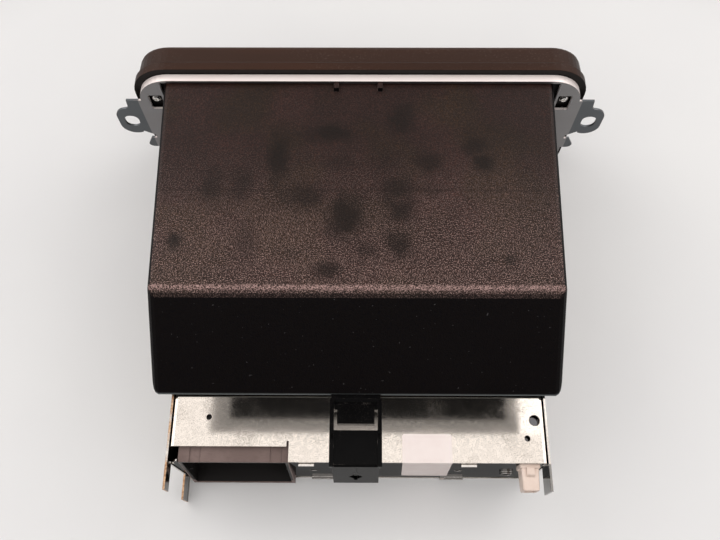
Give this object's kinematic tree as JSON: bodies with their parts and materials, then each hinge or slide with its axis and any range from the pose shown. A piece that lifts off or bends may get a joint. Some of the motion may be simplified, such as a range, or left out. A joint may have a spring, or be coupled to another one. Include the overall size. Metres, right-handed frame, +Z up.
{
  "type": "car radio",
  "caption": "Car radio with disc slot, knobs and buttons, a storage pocket over its sheet-metal chassis, a frame with ears, and a connector and antenna socket at the back.",
  "frame": {"origin": "middle of the bottom of the part's box, at the bezel's lower edge", "axes": "+X to the right of someone facing the control panel, +Y from the panel to the connectors, +Z up"},
  "size_m": [0.2662, 0.2286, 0.0968],
  "materials": {
    "black_plastic": "satin",
    "grained_plastic": "fine leather grain",
    "gloss_black": "gloss",
    "soft_black": "matt",
    "rubber_black": "matt",
    "frame_steel": "smooth pale zinc",
    "galvanised": "bright galvanised",
    "zinc": "bright zinc",
    "aluminium": "satin",
    "connector_plastic": "satin",
    "cream_plastic": "satin",
    "board_green": "solder mask",
    "blue_sleeve": "sleeve",
    "display_glass": "clear gloss over black"
  },
  "bodies": {
    "chassis": {"front_bezel": "black_plastic", "control_panel": "black_plastic", "display_lens": "display_glass", "display_module": "board_green", "front_board": "board_green", "mounting_frame": "frame_steel", "storage_pocket": "grained_plastic", "pocket_clip": "gloss_black", "chassis_tray": "galvanised", "top_cover": "galvanised", "rear_panel": "galvanised", "connector_header": "connector_plastic", "connector_pins": "soft_black", "antenna_socket": "cream_plastic", "tuner_can": "galvanised", "main_board": "board_green", "amplifier_chip": "soft_black", "heat_spreader": "aluminium", "filter_capacitor_1": "blue_sleeve", "filter_capacitor_2": "blue_sleeve", "deck_base": "galvanised", "deck_cover": "galvanised", "feed_motor": "zinc", "spindle_motor": "zinc", "guide_rod_front": "zinc", "guide_rod_rear": "zinc", "pocket_screw_left": "zinc", "frame_screw_left": "zinc", "side_screw_left_front": "zinc", "side_screw_left_rear": "zinc", "pocket_screw_right": "zinc", "frame_screw_right": "zinc", "side_screw_right_front": "zinc", "side_screw_right_rear": "zinc"},
    "feed_roller": {"feed_roller": "rubber_black"},
    "turntable": {"turntable": "soft_black"},
    "laser_sled": {"laser_sled": "soft_black"},
    "clamp_arm": {"clamp_arm": "zinc"},
    "clamp_disc": {"clamp_disc": "soft_black"},
    "volume_switch": {"volume_switch": "zinc"},
    "tuning_switch": {"tuning_switch": "zinc"},
    "volume_knob": {"volume_knob": "soft_black"},
    "tuning_knob": {"tuning_knob": "soft_black"},
    "preset_button_1": {"preset_button_1": "soft_black"},
    "preset_button_2": {"preset_button_2": "soft_black"},
    "preset_button_3": {"preset_button_3": "soft_black"},
    "preset_button_4": {"preset_button_4": "soft_black"},
    "preset_button_5": {"preset_button_5": "soft_black"},
    "preset_button_6": {"preset_button_6": "soft_black"},
    "source_button": {"source_button": "soft_black"},
    "band_button": {"band_button": "soft_black"},
    "seek_up_button": {"seek_up_button": "soft_black"},
    "seek_down_button": {"seek_down_button": "soft_black"},
    "eject_button": {"eject_button": "soft_black"}
  },
  "joints": [
    {"name": "preset_button_1_press", "type": "slide", "parent": "chassis", "child": "preset_button_1", "axis": [0, 1, 0], "range_m": [0, 0.0008], "stiffness_N_per_m": 400},
    {"name": "preset_button_2_press", "type": "slide", "parent": "chassis", "child": "preset_button_2", "axis": [0, 1, 0], "range_m": [0, 0.0008], "stiffness_N_per_m": 400},
    {"name": "preset_button_3_press", "type": "slide", "parent": "chassis", "child": "preset_button_3", "axis": [0, 1, 0], "range_m": [0, 0.0008], "stiffness_N_per_m": 400},
    {"name": "preset_button_4_press", "type": "slide", "parent": "chassis", "child": "preset_button_4", "axis": [0, 1, 0], "range_m": [0, 0.0008], "stiffness_N_per_m": 400},
    {"name": "preset_button_5_press", "type": "slide", "parent": "chassis", "child": "preset_button_5", "axis": [0, 1, 0], "range_m": [0, 0.0008], "stiffness_N_per_m": 400},
    {"name": "preset_button_6_press", "type": "slide", "parent": "chassis", "child": "preset_button_6", "axis": [0, 1, 0], "range_m": [0, 0.0008], "stiffness_N_per_m": 400},
    {"name": "source_button_press", "type": "slide", "parent": "chassis", "child": "source_button", "axis": [0, 1, 0], "range_m": [0, 0.0008], "stiffness_N_per_m": 400},
    {"name": "band_button_press", "type": "slide", "parent": "chassis", "child": "band_button", "axis": [0, 1, 0], "range_m": [0, 0.0008], "stiffness_N_per_m": 400},
    {"name": "seek_up_button_press", "type": "slide", "parent": "chassis", "child": "seek_up_button", "axis": [0, 1, 0], "range_m": [0, 0.0008], "stiffness_N_per_m": 400},
    {"name": "seek_down_button_press", "type": "slide", "parent": "chassis", "child": "seek_down_button", "axis": [0, 1, 0], "range_m": [0, 0.0008], "stiffness_N_per_m": 400},
    {"name": "eject_button_press", "type": "slide", "parent": "chassis", "child": "eject_button", "axis": [0, 1, 0], "range_m": [0, 0.0008], "stiffness_N_per_m": 400},
    {"name": "volume_push", "type": "slide", "parent": "chassis", "child": "volume_switch", "axis": [0, 1, 0], "range_m": [0, 0.0005], "stiffness_N_per_m": 600},
    {"name": "volume_turn", "type": "hinge", "parent": "volume_switch", "child": "volume_knob", "pos_m": [-0.0865, -0.1093, 0.02325], "axis": [0, 1, 0], "continuous": true},
    {"name": "tuning_push", "type": "slide", "parent": "chassis", "child": "tuning_switch", "axis": [0, 1, 0], "range_m": [0, 0.0005], "stiffness_N_per_m": 600},
    {"name": "tuning_turn", "type": "hinge", "parent": "tuning_switch", "child": "tuning_knob", "pos_m": [0.0865, -0.1093, 0.02325], "axis": [0, 1, 0], "continuous": true},
    {"name": "feed_roller_spin", "type": "hinge", "parent": "chassis", "child": "feed_roller", "pos_m": [0, -0.0726, 0.0414], "axis": [1, 0, 0], "continuous": true},
    {"name": "turntable_spin", "type": "hinge", "parent": "chassis", "child": "turntable", "pos_m": [0, -0.0126, 0.0446], "axis": [0, 0, 1], "continuous": true},
    {"name": "laser_sled_slide", "type": "slide", "parent": "chassis", "child": "laser_sled", "axis": [1, 0, 0], "range_m": [0, 0.03]},
    {"name": "clamp_arm_lift", "type": "hinge", "parent": "chassis", "child": "clamp_arm", "pos_m": [0, 0.0294, 0.0495], "axis": [-1, 0, 0], "range_deg": [0, 1.9], "stiffness_Nm_per_rad": 0.05, "springref_deg": -5.73},
    {"name": "clamp_disc_spin", "type": "hinge", "parent": "clamp_arm", "child": "clamp_disc", "pos_m": [0, -0.0126, 0.0497], "axis": [0, 0, 1], "continuous": true}
  ]
}
